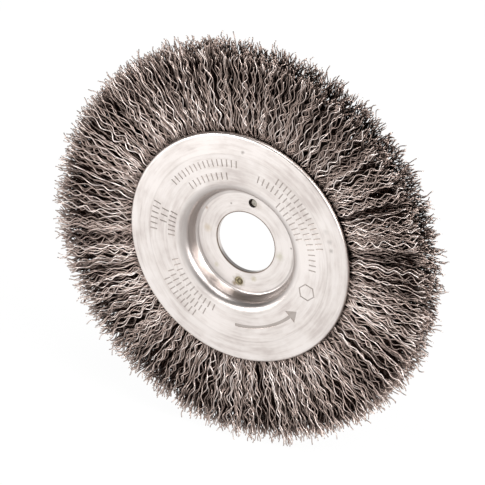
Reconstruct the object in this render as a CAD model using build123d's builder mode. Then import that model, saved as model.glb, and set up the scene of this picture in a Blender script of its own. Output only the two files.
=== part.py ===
from build123d import *
import math
import os

# Crimped wire wheel brush for the spindle of a bench grinder, die grinder or drill.
#
# Two dished steel plates clamp a U-shaped channel ring. Crimped steel wires are folded
# round a keeper ring inside the channel and stand out between the plates as a narrow
# round brush. Two small pins hold the plates together at the hub.
#
# Millimetres. The origin is the centre of the wheel, +Y runs along the arbor hole, and
# the stamped front plate faces -Y. The profiles of the plates and rings have their
# radius along X, and are turned about the Y axis.

INCH = 25.4

# Wheel
wheel_diameter = 4 * INCH
arbor_hole_diameter = 5 / 8 * INCH
tip_crown = 0.6                     # the longest wires stand this far past the nominal radius
tip_face_width = 12.0               # width of the brush at its wire tips

# Pressed sheet of the two face plates
sheet = 0.6
plate_diameter = 60.0
plate_face = 4.6                    # from the middle of the wheel to the flat of a plate
rim_face = 4.45                     # the same, at the edge, where the plate leans back a little
rim_lip_end = 3.6                   # where the turned-in edge stops
hub_wall_foot_radius = 14.0         # corner between the hub flat and the wall of the dish
hub_wall_top_radius = 15.2          # corner between that wall and the flat of the plate
hub_wall_foot_bend = 0.9
hub_wall_top_bend = 2.2
face_bend_radius = 24.5             # circle where the plate starts to lean back
rim_bend = 0.5

# Pins through the two hub flats
pin_diameter = 2.2
pin_hole_diameter = 2.3
pin_circle_diameter = 22.0
upper_pin_angle = 80.0              # seen from the front, anticlockwise from +X
upper_pin_sunk = 0.5                # how far each pin's front end lies below the hub flat
lower_pin_sunk = 0.1

# Ring inside the plates that holds the roots of the wires
channel_sheet = 0.8
channel_inner_radius = 18.0
channel_outer_radius = 24.0
channel_bend = 0.8
keeper_wire_diameter = 3.0
keeper_ring_radius = 22.1

# Wire tufts
tuft_count = 48
tuft_gap = 0.24                     # between two tufts side by side
tuft_clearance = 0.1                # between a tuft and the steel round it
fold_clearance = 0.2                # between the fold of a tuft and the keeper ring
root_half_width = 3.1
crimp_length = 7.0
crimp_height = 1.1

# Stamped pattern on the front plate
stamp_depth = 0.12
dash_length = 1.9
dash_width = 0.32
dash_pitch = 1.35
arrow_radius = 20.6
arrow_line = 0.8
arrow_tail_angle = -92.0
arrow_sweep = 46.0
arrow_head_width = 3.6
arrow_head_side = 3.2
hexagon_radius = 20.2
hexagon_angle = -20.8
hexagon_size = 2.3
hexagon_line = 0.36
dash_rows = (
    # radius, first angle, last angle
    (22.2, 91, 142),                # two rows, upper left
    (18.8, 99, 133),
    (22.9, 13, 62),                 # three rows, right
    (20.4, -3, 74),
    (17.9, 21, 52),
    (18.7, 202, 249),               # three rows, lower left
    (21.2, 209, 244),
    (23.5, 213, 239),
    (23.3, 162, 180),               # three rows, left
    (20.8, 164, 173),
    (18.4, 163, 182),
)

wheel_radius = wheel_diameter / 2
arbor_radius = arbor_hole_diameter / 2
plate_radius = plate_diameter / 2
tuft_pitch = 360 / tuft_count

os.makedirs("parts", exist_ok=True)


# Middle line of the pressed sheet of a face plate, on its -Y side: hub flat, wall of the
# dish, flat with the stamped pattern, leaning edge, turned-in lip.
def plate_line():
    half_sheet = sheet / 2
    lip_radius = plate_radius - half_sheet
    return (
        (arbor_radius, -half_sheet),
        (hub_wall_foot_radius, -half_sheet),
        (hub_wall_top_radius, half_sheet - plate_face),
        (face_bend_radius, half_sheet - plate_face),
        (lip_radius, half_sheet - rim_face),
        (lip_radius, -rim_lip_end),
    )


plate_bends = (hub_wall_foot_bend, hub_wall_top_bend, 0, rim_bend)


# Front face plate, with pin holes in its hub and the stamped pattern on its flat
with BuildPart() as front_face_plate:
    with BuildSketch(Plane.XY):
        with BuildLine():
            FilletPolyline(*plate_line(), radius=plate_bends)
        trace(line_width=sheet)
    revolve(axis=Axis.Y)

    with BuildSketch(Plane.XZ.offset(-sheet)):
        with PolarLocations(pin_circle_diameter / 2, 2, start_angle=upper_pin_angle):
            Circle(pin_hole_diameter / 2)
    extrude(amount=3 * sheet, mode=Mode.SUBTRACT)

    with BuildSketch(Plane.XZ.offset(plate_face)):
        for row_radius, first_angle, last_angle in dash_rows:
            sweep_angle = last_angle - first_angle
            dashes = 1 + round(math.radians(sweep_angle) * row_radius / dash_pitch)
            with PolarLocations(row_radius, dashes, first_angle, sweep_angle, endpoint=True):
                Rectangle(dash_length, dash_width)

        with BuildLine(mode=Mode.PRIVATE) as arrow_shaft:
            CenterArc((0, 0), arrow_radius, arrow_tail_angle, arrow_sweep)
        trace(arrow_shaft.line, line_width=arrow_line)
        with PolarLocations(arrow_radius, 1, start_angle=arrow_tail_angle + arrow_sweep):
            Triangle(
                a=arrow_head_width,
                b=arrow_head_side,
                c=arrow_head_side,
                align=(Align.CENTER, Align.MIN),
            )

        with PolarLocations(hexagon_radius, 1, start_angle=hexagon_angle):
            RegularPolygon(hexagon_size, 6)
            RegularPolygon(hexagon_size - hexagon_line, 6, mode=Mode.SUBTRACT)
    extrude(amount=-stamp_depth, mode=Mode.SUBTRACT)

front_face_plate.part.label = "front_face_plate"
export_step(front_face_plate.part, "parts/front_face_plate.step")


# Rear face plate, the same pressing turned round, with no stamped pattern
with BuildPart() as rear_face_plate:
    with BuildSketch(Plane.XY):
        with BuildLine():
            FilletPolyline(*plate_line(), radius=plate_bends)
        trace(line_width=sheet)
        mirror(about=Plane.XZ, mode=Mode.REPLACE)
    revolve(axis=Axis.Y)

    with BuildSketch(Plane.XZ.offset(-2 * sheet)):
        with PolarLocations(pin_circle_diameter / 2, 2, start_angle=upper_pin_angle):
            Circle(pin_hole_diameter / 2)
    extrude(amount=3 * sheet, mode=Mode.SUBTRACT)

rear_face_plate.part.label = "rear_face_plate"
export_step(rear_face_plate.part, "parts/rear_face_plate.step")


# Two hub pins, each sunk a little below the front flat and level with the rear one
with BuildPart() as hub_pins:
    for pin_angle, sunk in (
        (upper_pin_angle, upper_pin_sunk),
        (upper_pin_angle + 180, lower_pin_sunk),
    ):
        with BuildSketch(Plane.XZ.offset(-sheet)):
            with PolarLocations(pin_circle_diameter / 2, 1, start_angle=pin_angle):
                Circle(pin_diameter / 2)
        extrude(amount=2 * sheet - sunk)

hub_pins.part.label = "hub_pins"
export_step(hub_pins.part, "parts/hub_pins.step")


# Channel ring: a U-section open to the outside, gripped between the flats of the plates
with BuildPart() as channel_ring:
    channel_middle = plate_face - sheet - channel_sheet / 2
    floor_middle = channel_inner_radius + channel_sheet / 2
    with BuildSketch(Plane.XY):
        with BuildLine():
            FilletPolyline(
                (channel_outer_radius, -channel_middle),
                (floor_middle, -channel_middle),
                (floor_middle, channel_middle),
                (channel_outer_radius, channel_middle),
                radius=channel_bend,
            )
        trace(line_width=channel_sheet)
    revolve(axis=Axis.Y)

channel_ring.part.label = "channel_ring"
export_step(channel_ring.part, "parts/channel_ring.step")


# Keeper ring: the round steel ring that every wire is folded over
with BuildPart() as keeper_ring:
    with BuildSketch(Plane.XY):
        with Locations((keeper_ring_radius, 0)):
            Circle(keeper_wire_diameter / 2)
    revolve(axis=Axis.Y)

keeper_ring.part.label = "keeper_ring"
export_step(keeper_ring.part, "parts/keeper_ring.step")


# One side of a tuft, seen from the front, in zigzags like the crimp of its wires. The
# zigzag is the same on both sides, so that the tufts nest all the way round the wheel.
def crimped_side(side):
    inner = keeper_ring_radius - root_half_width - 1
    outer = wheel_radius + tip_crown + 1
    steps = math.ceil((outer - inner) / (crimp_length / 4))
    points = []
    for step in range(steps + 1):
        radius = inner + step * crimp_length / 4
        wave = crimp_height / 2 * math.sin(step * math.pi / 2)
        lean = (wave - side * tuft_gap / 2) / radius
        angle = math.radians(90 + side * tuft_pitch / 2) + lean
        points.append((radius * math.cos(angle), radius * math.sin(angle)))
    return points


# A tuft at the top of the wheel: a fold of wires round the keeper ring, gripped by the
# channel and the edges of the plates, widening towards its crowned tips.
with BuildPart() as tuft_form:
    lip_half_width = rim_lip_end - tuft_clearance
    tip_half_width = tip_face_width / 2
    with BuildSketch(Plane.YZ):
        with BuildLine():
            ThreePointArc(
                (-root_half_width, keeper_ring_radius),
                (0, keeper_ring_radius - root_half_width),
                (root_half_width, keeper_ring_radius),
            )
            Polyline(
                (root_half_width, keeper_ring_radius),
                (root_half_width, channel_outer_radius),
                (lip_half_width, plate_radius - 2 * sheet),
                (lip_half_width, plate_radius + tuft_clearance),
                (tip_half_width, wheel_radius - tip_crown),
            )
            ThreePointArc(
                (tip_half_width, wheel_radius - tip_crown),
                (0, wheel_radius + tip_crown),
                (-tip_half_width, wheel_radius - tip_crown),
            )
            Polyline(
                (-tip_half_width, wheel_radius - tip_crown),
                (-lip_half_width, plate_radius + tuft_clearance),
                (-lip_half_width, plate_radius - 2 * sheet),
                (-root_half_width, channel_outer_radius),
                (-root_half_width, keeper_ring_radius),
            )
        make_face()
        with Locations((0, keeper_ring_radius)):
            Circle(keeper_wire_diameter / 2 + fold_clearance, mode=Mode.SUBTRACT)
    extrude(amount=tip_face_width, both=True)

    with BuildSketch(Plane.XZ):
        with BuildLine():
            left_side = Polyline(crimped_side(1))
            right_side = Polyline(crimped_side(-1))
            Line(left_side @ 0, right_side @ 0)
            Line(left_side @ 1, right_side @ 1)
        make_face()
    extrude(amount=tip_face_width, both=True, mode=Mode.INTERSECT)


# The tufts, numbered clockwise from the top as seen from the front
for number in range(1, tuft_count + 1):
    tuft_name = f"wire_tuft_{number:02d}"
    with BuildPart() as wire_tuft:
        add(tuft_form.part.rotate(Axis.Y, (number - 1) * tuft_pitch))
    wire_tuft.part.label = tuft_name
    export_step(wire_tuft.part, f"parts/{tuft_name}.step")
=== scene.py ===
import math

import bpy
import numpy as np
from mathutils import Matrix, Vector


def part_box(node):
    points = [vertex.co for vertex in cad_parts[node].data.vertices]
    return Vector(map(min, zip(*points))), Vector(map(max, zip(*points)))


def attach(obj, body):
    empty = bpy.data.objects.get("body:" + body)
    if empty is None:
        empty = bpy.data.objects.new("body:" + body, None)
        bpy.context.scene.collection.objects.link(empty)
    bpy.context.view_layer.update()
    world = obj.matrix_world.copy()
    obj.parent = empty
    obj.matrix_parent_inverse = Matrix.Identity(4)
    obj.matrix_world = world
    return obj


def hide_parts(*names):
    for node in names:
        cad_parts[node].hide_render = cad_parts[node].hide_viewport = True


# Looks of the crimped wire wheel brush. Metres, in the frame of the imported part: the
# origin is the wheel's centre, +Y runs along the arbor hole, the stamped plate faces -Y.
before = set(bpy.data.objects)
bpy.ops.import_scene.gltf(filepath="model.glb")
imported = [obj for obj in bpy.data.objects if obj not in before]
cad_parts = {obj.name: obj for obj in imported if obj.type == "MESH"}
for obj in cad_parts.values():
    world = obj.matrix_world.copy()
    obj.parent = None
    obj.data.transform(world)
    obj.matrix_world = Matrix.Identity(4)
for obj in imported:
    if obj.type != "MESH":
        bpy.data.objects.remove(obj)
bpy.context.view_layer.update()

MM = 0.001

# Sizes read from the frame
_, tuft_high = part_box("wire_tuft_01")
plate_low, plate_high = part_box("front_face_plate")
_, keeper_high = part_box("keeper_ring")
tip_radius = tuft_high.z
tip_half_width = tuft_high.y
plate_radius = plate_high.x
plate_face = -plate_low.y
keeper_wire_radius = keeper_high.y
keeper_radius = keeper_high.x - keeper_wire_radius
tuft_nodes = sorted(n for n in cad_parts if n.startswith("wire_tuft"))
tuft_angle = math.tau / len(tuft_nodes)

# Mesh of the wires
SEED = 20
WIRE_RADIUS = 0.13 * MM
WIRE_SIDES = 5
WIRES_PER_TUFT = 72                 # folded wires, each with two ends at the tips
LEG_RINGS = 56                      # rings of the mesh from the fold to a tip
RING_SPACING = 0.96                 # under 1, the rings stand a little closer towards the tip
FOLD_RINGS = 5
PLACE_SHARE = (0.1, 0.9)            # where a wire stands in its own step round the tuft

# Legs of the wires: where they start, open out and end. A spread is a standard deviation,
# and waves are how far neighbouring wires change together.
NOMINAL_RADIUS = 50.8 * MM
LONGEST_RADIUS = tip_radius + 2.0 * MM
LIP_HALF_WIDTH = 3.35 * MM          # half the width of the fill between the plates' edges
ROOT_SHARE = (0.1, 0.97)            # of that half width, where a wire lies between the plates
FOLD_SHARE = (1.15, 1.75)           # of the keeper wire's radius, where a wire goes round it
GRIP_LENGTH = 4.0 * MM              # from the fold to where a wire's crimp is free
TIP_FAN = 0.9                       # share of the brush's half width that the tips fan out to
TIP_SPREAD = 0.3 * MM
REACH_SHORTFALL = 0.7 * MM          # of the usual tip, from the nominal radius
REACH_SPREAD = 0.65 * MM
REACH_WAVES = 0.5 * MM
LONG_SHARE = 0.1                    # of the wires, which are longer than the rest
LONG_BY = (0.3 * MM, 2.2 * MM)
SHORT_SHARE = 0.15                  # of the wires, which are shorter
SHORT_BY = (0.5 * MM, 3.5 * MM)
OPENING_START = 0.9                 # share of the plates' radius where the brush starts to open
CROSSING_SHARE = 0.2                # of the wires, which cross over others
CROSSING_SPREAD = 1.7 * MM
USUAL_SPREAD = 0.4 * MM
LEAN_WAVES = 0.15 * MM
LEAN_CURVE = 1.3                    # over 1, a wire leans most near its tip
WIDTH_LIMIT = 0.97                  # share of the brush's half width that no wire passes
WIDTH_CURVE = 0.8                   # under 1, the brush widens fastest beside the plates
WIDTH_POWER = 6                     # how sharply wires are turned back at that limit

# Crimp of the wires. Phases and turns are in radians.
CRIMP_LENGTH = 4.8 * MM
CRIMP_HEIGHT = 0.48 * MM            # from the middle line to a crest
LENGTH_WAVES = 0.07
LENGTH_SPREAD = 0.03
HEIGHT_WAVES = 0.12
HEIGHT_SHARE = (0.7, 1.25)
TURN_WAVES = 0.5                    # turn of a wire's crimp out of the plane of the wheel
TURN_SPREAD = 0.35
TURN_AT_PLATE = 0.4                 # share of the turned crimp that shows beside the plates
TURN_GROWTH = 0.8                   # added to that share by the time the tips are reached
PHASE_WAVES = 2.6
PHASE_SPREAD = 0.6
LOOSE_SHARE = 0.22                  # of the wires, which hardly follow their neighbours
LOOSE_PHASE_SPREAD = 1.8
UNEVEN_LENGTH = 2.7 * CRIMP_LENGTH  # over which the crimps of a wire stretch and flatten
UNEVEN_WAVES = 3.0
UNEVEN_SPREAD = 0.6
UNEVEN_PHASE = 0.5
UNEVEN_HEIGHT = 0.25
SLOW_CRIMPS = 2.3                   # crimps in one slow sway of a wire
SLOW_WAVES = 2.0
SLOW_HEIGHT = 0.22 * MM
FIELD_WAVES = 7                     # sines that are added up in one field
FIELD_SLANT = 0.25 / MM             # change across the width of the brush

# Tone of the wires, which holds their painted light and shade: 0 for a shaded hollow deep in the brush
# and 1 for a lit crest at its surface
# Painted shade: wires nearer the middle of the brush than this share of its half width are painted dark.
PAINTED_SHADE_SHARE = 0.68                 # of the brush's half width, all dark inside it
# Painted shadow: beside the plates the wires keep only this share of their tone.
TONE_AT_PLATE = 0.45                # share of the tone left in the plates' shade
PLATE_SHADE = 3.5 * MM
# Painted light: the tips are painted brighter from this share of the nominal radius outwards.
TIP_START = 0.93                    # share of the nominal radius where the tips get brighter
TIP_PAINTED_LIGHT = 0.45
TONE_SHARE = (0.4, 1.4)

# Places on a plate, as radii where a change starts and is full, and fades and ends
BORE_EDGE = (8.25 * MM, 8.05 * MM)
DISH_WALL = (12.8 * MM, 17.2 * MM)
FLAT = (16.6 * MM, 17.0 * MM, 24.3 * MM, 24.4 * MM)
BEND_LINE = (24.3 * MM, 24.5 * MM, 24.55 * MM, 24.75 * MM)
TURNED_EDGE = (29.55 * MM, 29.85 * MM)

# The same, as depths below the flat of a plate, and as y at the bore
STAMP_DEPTHS = (0.05 * MM, 0.09 * MM, 0.3 * MM, 0.4 * MM)
BORE_FRONT = (-0.3 * MM, -0.5 * MM)

# Colours, in linear red, green and blue
# Wire colours: the darkest is painted shade deep in the brush, the brightest painted light on its
# surface wires.
WIRE_PAINTED_SHADE = (0.016, 0.008, 0.006)
WIRE_GREY = (0.39, 0.305, 0.268)
WIRE_CREST = (0.96, 0.88, 0.84)
PLATE_DULL = (0.605, 0.543, 0.514)
PLATE_GREY = (0.71, 0.653, 0.62)
PLATE_BRIGHT = (0.778, 0.725, 0.696)
# Painted shade of the plates: on the dish wall, the turned edge, the bend line, the bore edge and in the
# stamped marks.
WALL_PAINTED_SHADE = (0.34, 0.305, 0.29)
EDGE_PAINTED_SHADE = (0.36, 0.32, 0.30)
BEND_PAINTED_SHADE = (0.45, 0.40, 0.37)
BORE_PAINTED_SHADE = (0.16, 0.11, 0.08)
MARK_PAINTED_SHADE = (0.22, 0.18, 0.155)
PIN_DARK = (0.20, 0.18, 0.15)
PIN_GREY = (0.42, 0.39, 0.34)
OLIVE_DARK = (0.16, 0.13, 0.07)
OLIVE_BROWN = (0.46, 0.40, 0.27)
# Painted shadow in the hole of the upper pin.
HOLE_PAINTED_SHADOW = (0.02, 0.015, 0.01)
CURL_DIRT = (0.05, 0.035, 0.02)
RING_DARK = (0.42, 0.41, 0.40)
RING_GREY = (0.60, 0.59, 0.58)
PAPER = (0.04, 0.04, 0.04)
WHITE = (1.0, 1.0, 1.0)

# Stains on the plates: radius, angle seen from the front, size, colour and strength
STAINS = (
    (11.0 * MM, 260, 1.9 * MM, (0.30, 0.24, 0.15, 0.9)),
    (12.2 * MM, 255, 0.9 * MM, (0.30, 0.22, 0.14, 0.8)),
    (9.6 * MM, 283, 0.9 * MM, (0.50, 0.44, 0.30, 0.7)),
    (10.6 * MM, 172, 1.3 * MM, (0.55, 0.45, 0.32, 0.6)),
    (9.4 * MM, 350, 1.5 * MM, (0.50, 0.47, 0.36, 0.6)),
    (12.7 * MM, 148, 0.5 * MM, (0.42, 0.27, 0.18, 0.7)),
    (11.3 * MM, 224, 0.8 * MM, (0.55, 0.50, 0.36, 0.6)),
    (11.0 * MM, 74, 1.6 * MM, (0.52, 0.46, 0.38, 0.5)),
    (10.3 * MM, 113, 0.34 * MM, (0.15, 0.12, 0.10, 0.8)),
    (12.5 * MM, 6, 0.34 * MM, (0.15, 0.12, 0.10, 0.8)),
    (25.8 * MM, 87, 0.6 * MM, (0.20, 0.17, 0.15, 0.7)),
    (26.0 * MM, 12, 0.7 * MM, (0.30, 0.27, 0.25, 0.6)),
    (26.2 * MM, 17, 0.9 * MM, (0.40, 0.36, 0.34, 0.5)),
    (26.0 * MM, 23, 0.9 * MM, (0.48, 0.44, 0.41, 0.4)),
)

# Marks on the pins, as x and z of their middles: the unshaded part of the upper one, whose
# rest is painted shadow, and the curl on the lower one
UPPER_PIN_UNSHADED = (2.25 * MM, 10.8 * MM)
LOWER_PIN_CURL = (-1.7 * MM, -10.9 * MM)
UNSHADED_RADII = (0.80 * MM, 0.95 * MM)
CURL_RADII = (0.30 * MM, 0.45 * MM, 0.70 * MM, 0.85 * MM)

# Stage
CAMERA_AZIMUTH = 29.3
CAMERA_ELEVATION = 26.1
CAMERA_DISTANCE = 1.25
VIEW_WIDTH = 0.1168                 # width of the picture at the wheel
VIEW_SHIFT = (1.1 * MM, 0.3 * MM)   # of the wheel in the picture, to the right and up
SENSOR_WIDTH = 36.0                 # millimetres, as Blender has it
FLOOR_HALF = 6.0
FLOOR_GAP = 1.0 * MM                # under the tips of the CAD tufts
FLOOR_GLOW = 0.97
SKY = ((0.0, 0.97), (0.08, 0.8), (0.3, 0.24), (1.0, 0.24))   # height, grey
LIGHTS = {
    # azimuth, elevation, distance, width, height, watts
    "key": (66, 27, 0.9, 0.5, 0.8, 10.0),
    "top": (20, 66, 1.0, 0.4, 0.4, 5.0),
    "fill": (-34, 4, 1.2, 0.45, 0.45, 8.0),
}

rng = np.random.default_rng(SEED)


# ---------------------------------------------------------------- node helpers

class Nodes:
    """Short calls for building a material's or a world's node tree."""

    def __init__(self, tree):
        self.tree = tree
        tree.nodes.clear()

    def add(self, kind, **inputs):
        node = self.tree.nodes.new(kind)
        for name, value in inputs.items():
            self.put(node, name, value)
        return node

    def put(self, node, name, value):
        """Set or link an input, by its name or, as i0, i1 and so on, by its place."""
        key = int(name[1:]) if name[0] == "i" and name[1:].isdigit() else name.replace("_", " ")
        socket = node.inputs[key]
        if isinstance(value, bpy.types.NodeSocket):
            self.tree.links.new(value, socket)
        elif socket.type == "RGBA":
            socket.default_value = (*value, 1)
        else:
            socket.default_value = value

    def noise(self, vector, scale, detail=3.0, rough=0.5):
        node = self.add("ShaderNodeTexNoise", Vector=vector, Scale=scale, Detail=detail, Roughness=rough)
        return node.outputs[0]

    def bump(self, height, strength, distance, **under):
        node = self.add("ShaderNodeBump", Strength=strength, Distance=distance, Height=height, **under)
        return node.outputs[0]

    def math(self, operation, *values):
        node = self.add("ShaderNodeMath", **{f"i{place}": value for place, value in enumerate(values)})
        node.operation = operation
        return node.outputs[0]

    def times(self, first, second):
        return self.math("MULTIPLY", first, second)

    def length(self, across, up):
        squares = self.math("MULTIPLY_ADD", across, across, self.times(up, up))
        return self.math("SQRT", squares)

    def distance(self, x, z, spot):
        return self.length(self.math("SUBTRACT", x, spot[0]), self.math("SUBTRACT", z, spot[1]))

    def span(self, value, start, full):
        """0 at start, 1 at full, held outside them."""
        node = self.add("ShaderNodeMapRange", i0=value, i1=start, i2=full, i3=0.0, i4=1.0)
        return node.outputs[0]

    def band(self, value, start, full, fade, end):
        """0 up to start, 1 from full to fade, 0 again from end."""
        return self.times(self.span(value, start, full), self.span(value, end, fade))

    def ramp(self, value, *stops):
        """Colour ramp with stops of (position, grey or colour)."""
        node = self.add("ShaderNodeValToRGB", Fac=value)
        elements = node.color_ramp.elements
        while len(elements) < len(stops):
            elements.new(0.5)
        for element, (position, colour) in zip(elements, stops):
            element.position = position
            grey = isinstance(colour, (int, float))
            element.color = (colour, colour, colour, 1) if grey else (*colour, 1)
        return node.outputs[0]

    def paint(self, share, under, over):
        """The colour over laid on the colour under, where share is 1."""
        node = self.add("ShaderNodeMix")
        node.data_type = "RGBA"
        self.put(node, "i0", share)
        self.put(node, "i6", under)
        self.put(node, "i7", over)
        return node.outputs[2]

    def object_place(self):
        return self.add("ShaderNodeTexCoord").outputs["Object"]

    def surface(self, colour, **inputs):
        """The material's one shader, and its output."""
        shader = self.add("ShaderNodeBsdfPrincipled", Base_Color=colour, **inputs)
        self.add("ShaderNodeOutputMaterial", Surface=shader.outputs[0])


def new_material(name):
    material = bpy.data.materials.new(name)
    material.use_nodes = True
    return material, Nodes(material.node_tree)


# ---------------------------------------------------------------- materials

def wire_material():
    """Drawn spring wire: warm grey, each wire of its own tone, with painted shade deep in the brush and
    beside the plates, painted light at its surface and tips, and faint draw marks.
    """
    tone_share, mottle_share = 0.8, 0.3
    material, n = new_material("wire_steel")
    place = n.object_place()
    tone = n.add("ShaderNodeAttribute")
    tone.attribute_name = "wire_tone"
    mottle = n.noise(place, scale=900.0, detail=2.0)
    shade = n.math("MULTIPLY_ADD", mottle, mottle_share, n.times(tone.outputs["Fac"], tone_share))
    # The wire tone paints the light and shade of the wires into their colour.
    colour = n.ramp(shade, (0.15, WIRE_PAINTED_SHADE), (0.5, WIRE_GREY), (1.0, WIRE_CREST))
    grain = n.noise(place, scale=6000.0, detail=2.0)
    draw_marks = n.bump(grain, strength=0.12, distance=0.04 * MM)
    n.surface(colour, Metallic=1.0, Roughness=0.34, Normal=draw_marks)
    return material


def stained(n, colour, place, x, z):
    """A plate's colour with its stains, each with a ragged edge."""
    ragged_share = 0.9
    outer_share, inner_share = 1.5, 0.6
    for radius, angle, size, (*stain_colour, strength) in STAINS:
        spot = (radius * math.cos(math.radians(angle)), radius * math.sin(math.radians(angle)))
        ragged = n.math(
            "MULTIPLY_ADD", n.noise(place, scale=1500.0), size * ragged_share, n.distance(x, z, spot)
        )
        share = n.times(n.span(ragged, size * outer_share, size * inner_share), strength)
        colour = n.paint(share, colour, stain_colour)
    return colour


def plate_material():
    """Bright plated sheet: faint turning marks, painted shade on the dish wall, the turned
    edge, the bend line and the bore edge, painted shade in the stamped marks, and a few
    stains round the pins and near the edge."""
    streak_stretch = 9.0            # streaks are this many times longer round than across
    streak_share, cloud_share = 0.45, 0.55
    bend_strength, mark_strength = 0.25, 0.62
    smoothest, cloud_roughness = 0.22, 0.22

    material, n = new_material("plate_steel")
    place = n.object_place()
    x, y, z = n.add("ShaderNodeSeparateXYZ", Vector=place).outputs
    radius = n.length(x, z)
    turned = n.add("ShaderNodeCombineXYZ", X=n.times(radius, streak_stretch), Y=x, Z=z).outputs[0]

    clouds = n.noise(place, scale=75.0, detail=4.0, rough=0.65)
    streaks = n.noise(turned, scale=130.0, detail=3.0, rough=0.6)
    tone = n.math("MULTIPLY_ADD", streaks, streak_share, n.times(clouds, cloud_share))
    colour = n.ramp(tone, (0.38, PLATE_DULL), (0.47, PLATE_GREY), (0.56, PLATE_BRIGHT))

    # Painted shade on the dish wall, in bands across it, none on the hub or the flat.
    wall = n.ramp(
        n.span(radius, *DISH_WALL),
        (0.0, 0.0), (0.06, 0.55), (0.12, 0.35), (0.3, 1.0), (0.55, 0.75), (1.0, 0.0),
    )
    colour = n.paint(wall, colour, WALL_PAINTED_SHADE)
    # Painted shade on the turned edge of the rim.
    colour = n.paint(n.span(radius, *TURNED_EDGE), colour, EDGE_PAINTED_SHADE)
    # Painted shade along the bend line of the flat.
    colour = n.paint(n.times(n.band(radius, *BEND_LINE), bend_strength), colour, BEND_PAINTED_SHADE)
    # Painted shade at the edge of the bore.
    bore_edge = n.times(n.span(radius, *BORE_EDGE), n.span(y, *BORE_FRONT))
    colour = n.paint(bore_edge, colour, BORE_PAINTED_SHADE)

    # Painted shade in the stamped marks.
    sunk = n.band(y, *(depth - plate_face for depth in STAMP_DEPTHS))
    marks = n.times(n.times(sunk, n.band(radius, *FLAT)), mark_strength)
    colour = n.paint(marks, colour, MARK_PAINTED_SHADE)
    colour = stained(n, colour, place, x, z)

    rough = n.math("MULTIPLY_ADD", clouds, cloud_roughness, smoothest)
    grain = n.bump(n.noise(turned, scale=700.0), strength=0.10, distance=0.04 * MM)
    dents = n.bump(n.noise(place, scale=60.0, detail=2.0), strength=0.5, distance=0.3 * MM, Normal=grain)
    n.surface(colour, Metallic=1.0, Roughness=rough, Normal=dents)
    return material


def pin_material():
    """Dull grey ends of the hub pins: the upper one sunk, with a painted shadow on one side of
    its hole, the lower one stained olive brown with a curl from the punch."""
    curl_strength = 0.8
    blend_height = 1.0 * MM         # colours change this far above and below the axis
    material, n = new_material("pin_steel")
    place = n.object_place()
    x, _, z = n.add("ShaderNodeSeparateXYZ", Vector=place).outputs
    grain = n.noise(place, scale=1800.0)
    grey = n.ramp(grain, (0.3, PIN_DARK), (0.7, PIN_GREY))
    olive = n.ramp(grain, (0.3, OLIVE_DARK), (0.7, OLIVE_BROWN))
    colour = n.paint(n.span(z, blend_height, -blend_height), grey, olive)
    # Painted shadow on the upper pin, round one side of its hole.
    shadow_crescent = n.span(n.distance(x, z, UPPER_PIN_UNSHADED), *UNSHADED_RADII)
    colour = n.paint(n.times(shadow_crescent, n.span(z, 0.0, blend_height)), colour, HOLE_PAINTED_SHADOW)
    curl = n.band(n.distance(x, z, LOWER_PIN_CURL), *CURL_RADII)
    colour = n.paint(n.times(curl, curl_strength), colour, CURL_DIRT)
    n.surface(colour, Metallic=0.9, Roughness=0.5)
    return material


def ring_material():
    """Plain rolled steel of the two rings between the plates."""
    material, n = new_material("ring_steel")
    clouds = n.noise(n.object_place(), scale=400.0)
    colour = n.ramp(clouds, (0.3, RING_DARK), (0.7, RING_GREY))
    n.surface(colour, Metallic=1.0, Roughness=0.42)
    return material


def floor_material():
    """White paper that glows a little, so that it ends in the white background."""
    material, n = new_material("floor_paper")
    n.surface(
        PAPER, Roughness=1.0, Specular_IOR_Level=0.0, Emission_Color=WHITE, Emission_Strength=FLOOR_GLOW
    )
    return material


# ---------------------------------------------------------------- wires

class Field:
    """A smooth random value round the wheel and across its width, alike in near wires. It
    is a sum of sines, each with its own number of turns between fewest and most."""

    def __init__(self, fewest, most):
        self.turns = rng.integers(fewest, most + 1, FIELD_WAVES)
        self.starts = rng.uniform(0, math.tau, FIELD_WAVES)
        self.slants = rng.normal(0, FIELD_SLANT, FIELD_WAVES)

    def at(self, angle, y):
        total = sum(
            np.sin(turns * angle + start + slant * y)
            for turns, start, slant in zip(self.turns, self.starts, self.slants)
        )
        return total * math.sqrt(2 / FIELD_WAVES)


phase_field = Field(4, 24)
slow_field = Field(8, 30)
lean_field = Field(12, 44)
reach_field = Field(20, 90)
length_field = Field(10, 60)
height_field = Field(20, 80)
turn_field = Field(20, 70)
uneven_field = Field(10, 50)


def tip_reach(angle, root_y):
    """Radius of each wire's tip: near the nominal one, but for some long and short wires."""
    count = len(root_y)
    stray = rng.random(count)
    reach = NOMINAL_RADIUS - REACH_SHORTFALL + rng.normal(0, REACH_SPREAD, count)
    reach += REACH_WAVES * reach_field.at(angle, root_y)
    reach += np.where(stray > 1 - LONG_SHARE, rng.uniform(*LONG_BY, count), 0)
    reach -= np.where(stray < SHORT_SHARE, rng.uniform(*SHORT_BY, count), 0)
    return np.minimum(reach, LONGEST_RADIUS)


def tip_lean(angle, root_y):
    """How far round the wheel each wire's tip leans from the wire's root."""
    count = len(root_y)
    spread = np.where(rng.random(count) < CROSSING_SHARE, CROSSING_SPREAD, USUAL_SPREAD)
    return LEAN_WAVES * lean_field.at(angle, root_y) + rng.normal(0, 1, count) * spread


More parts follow.
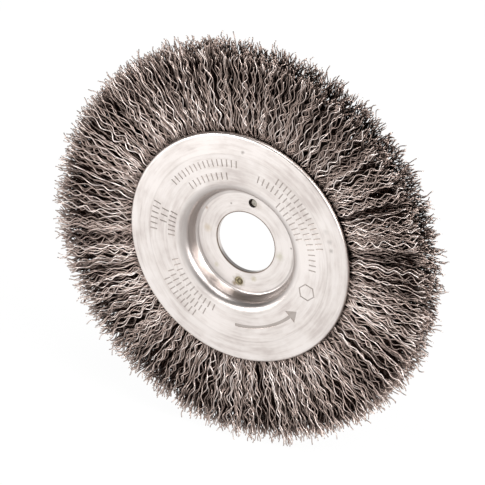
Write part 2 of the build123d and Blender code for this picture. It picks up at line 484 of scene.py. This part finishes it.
def crimp(angle, root_y, radius):
    """Crimp of each wire along its leg: its wave, the turn of that wave out of the plane
    of the wheel, and a slow sway."""
    count = len(root_y)
    loose = rng.random(count) < LOOSE_SHARE
    length = CRIMP_LENGTH * (
        1 + LENGTH_WAVES * length_field.at(angle, root_y) + rng.normal(0, LENGTH_SPREAD, count)
    )
    height = CRIMP_HEIGHT * (1 + HEIGHT_WAVES * height_field.at(angle, root_y))
    height *= rng.uniform(*HEIGHT_SHARE, count)
    turn = TURN_WAVES * turn_field.at(angle, root_y) + rng.normal(0, TURN_SPREAD, count)
    phase_spread = np.where(loose, LOOSE_PHASE_SPREAD, PHASE_SPREAD)
    phase = PHASE_WAVES * phase_field.at(angle, root_y) + rng.normal(0, 1, count) * phase_spread
    uneven = UNEVEN_WAVES * uneven_field.at(angle, root_y) + rng.normal(0, UNEVEN_SPREAD, count)
    uneven = uneven[:, None] + math.tau * radius / UNEVEN_LENGTH
    bend = math.tau * radius / length[:, None] + phase[:, None] + UNEVEN_PHASE * np.sin(uneven)
    wave = height[:, None] * np.sin(bend) * (1 + UNEVEN_HEIGHT * np.cos(uneven))
    slow_phase = SLOW_WAVES * slow_field.at(angle, root_y)
    slow_bend = math.tau * radius / (length * SLOW_CRIMPS)[:, None] + slow_phase[:, None]
    return wave, turn[:, None], SLOW_HEIGHT * np.sin(slow_bend)


def leg_lines(angle, side, count):
    """Middle lines of one leg of each wire, from the fold to the tip: radius, drift round
    the wheel, and y. Side is -1 at the front and 1 at the rear."""
    root_y = side * rng.uniform(*ROOT_SHARE, count) * LIP_HALF_WIDTH
    fan = tip_half_width / LIP_HALF_WIDTH * TIP_FAN
    tip_y = root_y * fan + rng.normal(0, TIP_SPREAD, count)
    share = np.linspace(0, 1, LEG_RINGS)[None, :] ** RING_SPACING
    radius = keeper_radius + (tip_reach(angle, root_y) - keeper_radius)[:, None] * share

    opening_start = plate_radius * OPENING_START
    opening = np.clip((radius - opening_start) / (tip_radius - opening_start), 0, 1)
    lean = tip_lean(angle, root_y)[:, None] * opening ** LEAN_CURVE
    wave, turn, sway = crimp(angle, root_y, radius)
    drift = lean + wave * np.cos(turn) + sway
    y = root_y[:, None] + (tip_y - root_y)[:, None] * opening
    y += wave * np.sin(turn) * (TURN_AT_PLATE + TURN_GROWTH * opening)

    limit = LIP_HALF_WIDTH + (tip_half_width * WIDTH_LIMIT - LIP_HALF_WIDTH) * opening ** WIDTH_CURVE
    y = y / (1 + np.abs(y / limit) ** WIDTH_POWER) ** (1 / WIDTH_POWER)
    free = np.clip((radius - keeper_radius) / GRIP_LENGTH, 0, 1)
    fold_y = side * rng.uniform(*FOLD_SHARE, count)[:, None] * keeper_wire_radius
    return radius, drift * free, y * free + fold_y * (1 - free)


def wire_lines(centre_angle, count):
    """Middle lines of a tuft's folded wires, as points in the frame, and the direction
    round the wheel at each wire."""
    step = rng.permutation(count) + rng.uniform(*PLACE_SHARE, count) - count / 2
    angle = centre_angle + step * tuft_angle / count
    front = leg_lines(angle, -1, count)
    rear = leg_lines(angle, 1, count)
    turn = np.linspace(math.pi, 0, FOLD_RINGS + 2)[1:-1]
    fold_size = (rear[2][:, :1] - front[2][:, :1]) / 2
    fold = (
        keeper_radius - fold_size * np.sin(turn),
        np.zeros((count, FOLD_RINGS)),
        fold_size * np.cos(turn),
    )
    radius, drift, y = (
        np.concatenate([tip_to_fold[:, ::-1], middle, fold_to_tip], axis=1)
        for tip_to_fold, middle, fold_to_tip in zip(front, fold, rear)
    )
    out = np.stack([np.sin(angle), np.zeros(count), np.cos(angle)], -1)[:, None, :]
    aside = np.stack([np.cos(angle), np.zeros(count), -np.sin(angle)], -1)[:, None, :]
    along = np.array([0.0, 1.0, 0.0])
    return radius[..., None] * out + drift[..., None] * aside + y[..., None] * along, aside


def wire_tones(lines):
    """Tone along each wire: painted shade deep inside the brush, a painted shadow beside the
    plates, and painted light at the tips, on a random tone of each wire."""
    out = np.linalg.norm(lines[..., [0, 2]], axis=-1)
    past_plate = out - plate_radius
    opening = np.clip(past_plate / (tip_radius - plate_radius), 0, 1)
    half_width = LIP_HALF_WIDTH + (tip_half_width - LIP_HALF_WIDTH) * opening
    nearness = np.abs(lines[..., 1]) / half_width
    # Painted shade: dark for wires deep in the brush, bright for those at its surface.
    tone = np.clip((nearness - PAINTED_SHADE_SHARE) / (1 - PAINTED_SHADE_SHARE), 0, 1)
    # Painted shadow of the plates on the wires beside their edges.
    tone *= TONE_AT_PLATE + (1 - TONE_AT_PLATE) * np.clip(past_plate / PLATE_SHADE, 0, 1)
    # Painted light on the tips.
    tip = np.clip((out / NOMINAL_RADIUS - TIP_START) / (1 - TIP_START), 0, 1)
    return tone * rng.uniform(*TONE_SHARE, len(lines))[:, None] + TIP_PAINTED_LIGHT * tip


def tube_points(lines, aside):
    """A ring of points round each point of the lines."""
    tangent = np.gradient(lines, axis=1)
    tangent /= np.linalg.norm(tangent, axis=-1, keepdims=True)
    first = aside - (aside * tangent).sum(-1, keepdims=True) * tangent
    first /= np.linalg.norm(first, axis=-1, keepdims=True)
    second = np.cross(tangent, first)
    round_angle = np.arange(WIRE_SIDES)[:, None] * math.tau / WIRE_SIDES
    circle = np.cos(round_angle) * first[:, :, None, :] + np.sin(round_angle) * second[:, :, None, :]
    return (lines[:, :, None, :] + WIRE_RADIUS * circle).reshape(-1, 3)


def tube_faces(count, rings):
    """Points of the quads along each tube, and of the flat cuts at its two ends."""
    wire = np.arange(count)[:, None, None] * rings * WIRE_SIDES
    ring = np.arange(rings - 1)[None, :, None] * WIRE_SIDES
    side = np.arange(WIRE_SIDES)
    next_side = (side + 1) % WIRE_SIDES
    here = wire + ring
    beyond = here + WIRE_SIDES
    quads = np.stack([here + side, here + next_side, beyond + next_side, beyond + side], -1)
    start_cuts = wire[:, 0] + side[::-1]
    end_cuts = wire[:, 0] + (rings - 1) * WIRE_SIDES + side
    return quads.reshape(-1, 4), np.concatenate([start_cuts, end_cuts])


def tube_mesh(name, lines, aside, tones):
    """One closed tube along each line."""
    points = tube_points(lines, aside)
    quads, cuts = tube_faces(*lines.shape[:2])
    corners = np.concatenate([quads.ravel(), cuts.ravel()])
    sizes = np.repeat([4, WIRE_SIDES], [len(quads), len(cuts)])
    starts = np.cumsum(sizes) - sizes
    point_tones = np.repeat(tones.ravel(), WIRE_SIDES)

    mesh = bpy.data.meshes.new(name)
    mesh.vertices.add(len(points))
    mesh.vertices.foreach_set("co", points.astype(np.float32).ravel())
    mesh.loops.add(len(corners))
    mesh.loops.foreach_set("vertex_index", corners.astype(np.int32))
    mesh.polygons.add(len(starts))
    mesh.polygons.foreach_set("loop_start", starts.astype(np.int32))
    is_cut = np.arange(len(starts)) >= len(quads)
    mesh.attributes.new("sharp_face", "BOOLEAN", "FACE").data.foreach_set("value", is_cut)
    tone_values = mesh.attributes.new("wire_tone", "FLOAT", "POINT").data
    tone_values.foreach_set("value", point_tones.astype(np.float32))
    mesh.update(calc_edges=True)
    mesh.validate()
    return mesh


def make_wires(material):
    """In place of each tuft's closed solid, the tuft's own wires."""
    for number, node in enumerate(tuft_nodes):
        name = node.replace("wire_tuft", "wire_bundle")
        lines, aside = wire_lines(number * tuft_angle, WIRES_PER_TUFT)
        bundle = bpy.data.objects.new(name, tube_mesh(name, lines, aside, wire_tones(lines)))
        bpy.context.scene.collection.objects.link(bundle)
        bundle.data.materials.append(material)
        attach(bundle, "root")
        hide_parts(node)


# ---------------------------------------------------------------- CAD nodes

def dress(node, material):
    """A CAD mesh shown as it is, in one material."""
    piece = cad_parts[node]
    piece.data.materials.clear()
    piece.data.materials.append(material)


# ---------------------------------------------------------------- stage

def make_floor():
    mesh = bpy.data.meshes.new("floor")
    half = FLOOR_HALF
    low = -tip_radius - FLOOR_GAP
    corners = [(-half, -half, low), (half, -half, low), (half, half, low), (-half, half, low)]
    mesh.from_pydata(corners, [], [(0, 1, 2, 3)])
    floor = bpy.data.objects.new("floor", mesh)
    floor.data.materials.append(floor_material())
    bpy.context.scene.collection.objects.link(floor)


def direction(azimuth, elevation):
    """Unit vector from the wheel towards a viewer: azimuth 0 is at -Y, 90 at +X."""
    a, e = math.radians(azimuth), math.radians(elevation)
    return Vector((math.sin(a) * math.cos(e), -math.cos(a) * math.cos(e), math.sin(e)))


def make_camera():
    back = direction(CAMERA_AZIMUTH, CAMERA_ELEVATION)
    turn = back.to_track_quat("Z", "Y")
    camera = bpy.data.objects.new("camera", bpy.data.cameras.new("camera"))
    camera.data.sensor_width = SENSOR_WIDTH
    camera.data.lens = SENSOR_WIDTH * CAMERA_DISTANCE / VIEW_WIDTH
    camera.data.clip_start = 0.05
    camera.data.clip_end = 50.0
    camera.rotation_mode = "QUATERNION"
    camera.rotation_quaternion = turn
    camera.location = back * CAMERA_DISTANCE - turn @ Vector((*VIEW_SHIFT, 0))
    bpy.context.scene.collection.objects.link(camera)
    bpy.context.scene.camera = camera


def add_light(name, azimuth, elevation, distance, width, height, watts):
    light = bpy.data.lights.new(name, "AREA")
    light.shape = "ELLIPSE"
    light.size = width
    light.size_y = height
    light.energy = watts
    lamp = bpy.data.objects.new(name, light)
    lamp.location = direction(azimuth, elevation) * distance
    lamp.rotation_mode = "QUATERNION"
    lamp.rotation_quaternion = direction(azimuth, elevation).to_track_quat("Z", "Y")
    bpy.context.scene.collection.objects.link(lamp)


def make_world():
    """White at the horizon and below, grey above it."""
    world = bpy.data.worlds.new("studio")
    bpy.context.scene.world = world
    world.use_nodes = True
    n = Nodes(world.node_tree)
    place = n.add("ShaderNodeTexCoord").outputs["Generated"]
    height = n.add("ShaderNodeSeparateXYZ", Vector=place).outputs[2]
    background = n.add("ShaderNodeBackground", Color=n.ramp(height, *SKY), Strength=1.0)
    n.add("ShaderNodeOutputWorld", Surface=background.outputs[0])
    settings = bpy.context.scene.view_settings
    settings.view_transform = "Standard"
    settings.exposure = 0.0


# ---------------------------------------------------------------- build

make_camera()
make_wires(wire_material())
plates = plate_material()
rings = ring_material()
dress("front_face_plate", plates)
dress("rear_face_plate", plates)
dress("hub_pins", pin_material())
dress("channel_ring", rings)
dress("keeper_ring", rings)
make_floor()
for light_name, light_values in LIGHTS.items():
    add_light(light_name, *light_values)
make_world()
